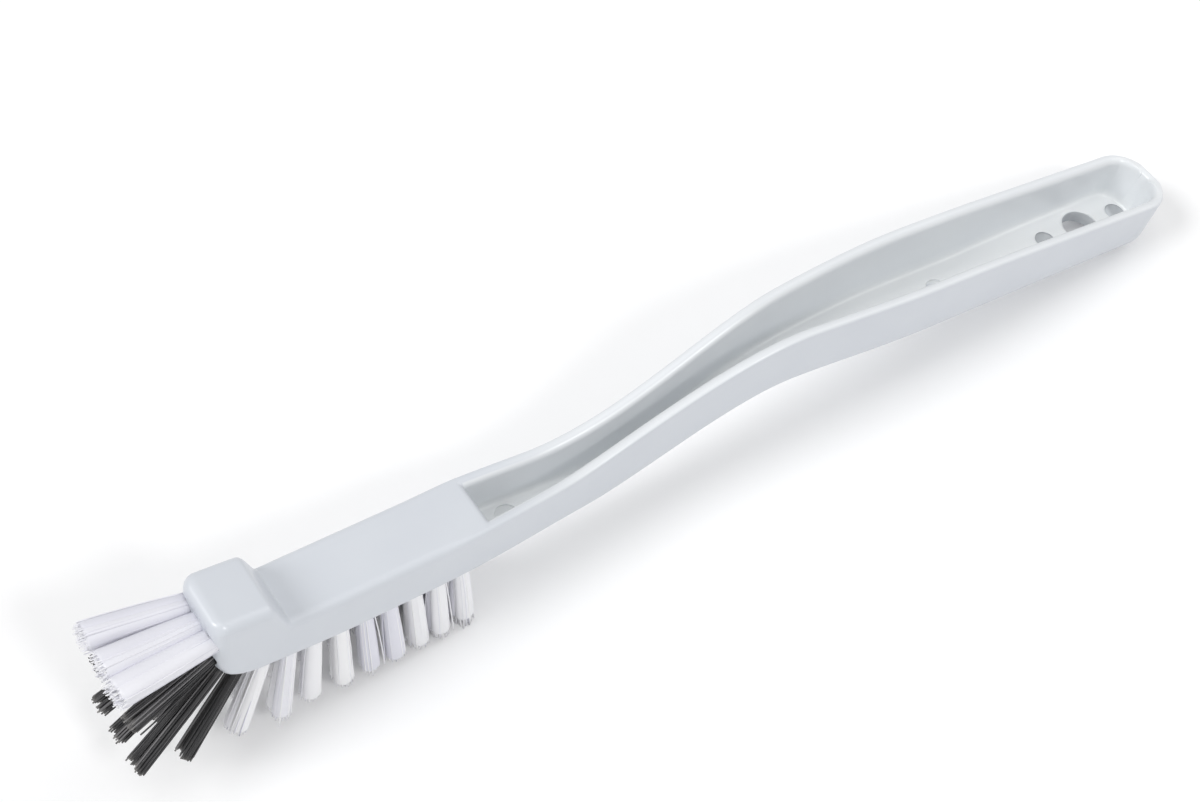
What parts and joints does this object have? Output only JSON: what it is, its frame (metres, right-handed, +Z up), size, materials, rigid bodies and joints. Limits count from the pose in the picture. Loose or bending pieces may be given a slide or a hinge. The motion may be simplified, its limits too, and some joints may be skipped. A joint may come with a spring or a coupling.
{
  "type": "dish brush",
  "caption": "Long-handled dish brush: one-piece handle with an open channel and hang hole, raised nose, and white and black bristle tufts running under the head and round the nose.",
  "frame": {"origin": "on the surface that the brush stands on, under the middle of its box", "axes": "+X from the nose to the handle end, +Y across the brush, +Z up; the brush stands on its rear tufts and its handle end"},
  "size_m": [0.3018, 0.022, 0.0533],
  "materials": {
    "handle_plastic": "satin moulded plastic, pale cool grey",
    "white_nylon": "white nylon filament",
    "black_nylon": "black nylon filament",
    "anchor_wire": "bright flat wire"
  },
  "bodies": {
    "root": {"handle": "handle_plastic", "nose_white_bristles": "white_nylon", "black_bristles": "black_nylon", "white_bristles": "white_nylon", "anchor_near_01": "anchor_wire", "anchor_near_02": "anchor_wire", "anchor_near_03": "anchor_wire", "anchor_near_04": "anchor_wire", "anchor_near_05": "anchor_wire", "anchor_near_06": "anchor_wire", "anchor_near_07": "anchor_wire", "anchor_near_08": "anchor_wire", "anchor_near_09": "anchor_wire", "anchor_near_10": "anchor_wire", "anchor_near_11": "anchor_wire", "anchor_near_12": "anchor_wire", "anchor_near_13": "anchor_wire", "anchor_middle_01": "anchor_wire", "anchor_middle_02": "anchor_wire", "anchor_middle_03": "anchor_wire", "anchor_middle_04": "anchor_wire", "anchor_middle_05": "anchor_wire", "anchor_middle_06": "anchor_wire", "anchor_middle_07": "anchor_wire", "anchor_middle_08": "anchor_wire", "anchor_middle_09": "anchor_wire", "anchor_middle_10": "anchor_wire", "anchor_middle_11": "anchor_wire", "anchor_middle_12": "anchor_wire", "anchor_far_01": "anchor_wire", "anchor_far_02": "anchor_wire", "anchor_far_03": "anchor_wire", "anchor_far_04": "anchor_wire", "anchor_far_05": "anchor_wire", "anchor_far_06": "anchor_wire", "anchor_far_07": "anchor_wire", "anchor_far_08": "anchor_wire", "anchor_far_09": "anchor_wire", "anchor_far_10": "anchor_wire", "anchor_far_11": "anchor_wire", "anchor_far_12": "anchor_wire", "anchor_far_13": "anchor_wire"}
  },
  "joints": []
}
